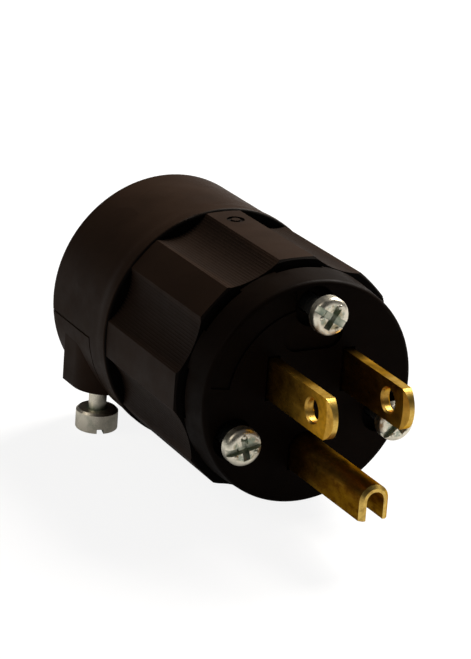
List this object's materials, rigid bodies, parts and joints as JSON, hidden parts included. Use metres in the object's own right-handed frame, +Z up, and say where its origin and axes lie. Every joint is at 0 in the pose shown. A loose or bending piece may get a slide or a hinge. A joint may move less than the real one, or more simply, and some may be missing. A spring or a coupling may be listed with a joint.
{
  "type": "type b plug",
  "caption": "Rewireable straight-blade electrical plug with a fluted round grip, flat blades, a folded ground pin, backed-out screws and a cord clamp at the rear.",
  "frame": {"origin": "centre of the mating face, on the plug's axis", "axes": "+Y along the plug from the mating face to the cord end, +Z up with the ground pin at the bottom, +X to the right when the face is looked at from the front; it lies on a level table on its clamp screws and its bottom lobe"},
  "size_m": [0.0382, 0.0708, 0.0386],
  "materials": {
    "housing_plastic": "satin moulded",
    "clamp_plastic": "satin moulded",
    "face_plastic": "satin moulded",
    "retainer_plastic": "plain moulded",
    "blade_brass": "stamped, lightly tarnished",
    "pin_brass": "folded sheet, lightly tarnished",
    "zinc_plated_steel": "zinc plated",
    "nut_steel": "zinc plated",
    "brass_screw": "bright",
    "plated_screw": "nickel plated",
    "green_screw": "green passivated"
  },
  "bodies": {
    "plug": {"rear_housing": "housing_plastic", "front_body": "face_plastic", "blade_retainer": "retainer_plastic", "hot_blade": "blade_brass", "neutral_blade": "blade_brass", "ground_pin": "pin_brass", "assembly_screw_top": "zinc_plated_steel", "assembly_screw_left": "zinc_plated_steel", "assembly_screw_right": "zinc_plated_steel", "clamp_screw_left": "zinc_plated_steel", "clamp_screw_right": "zinc_plated_steel", "clamp_nut_left": "nut_steel", "clamp_nut_right": "nut_steel", "hot_terminal_screw": "brass_screw", "neutral_terminal_screw": "plated_screw", "ground_terminal_screw": "green_screw", "hot_pressure_plate": "brass_screw", "neutral_pressure_plate": "plated_screw", "ground_pressure_plate": "nut_steel"},
    "clamp": {"cord_clamp": "clamp_plastic"}
  },
  "joints": [
    {"name": "clamp_slide", "type": "slide", "parent": "plug", "child": "clamp", "axis": [0, 0, -1], "range_m": [0, 0.0038]}
  ]
}
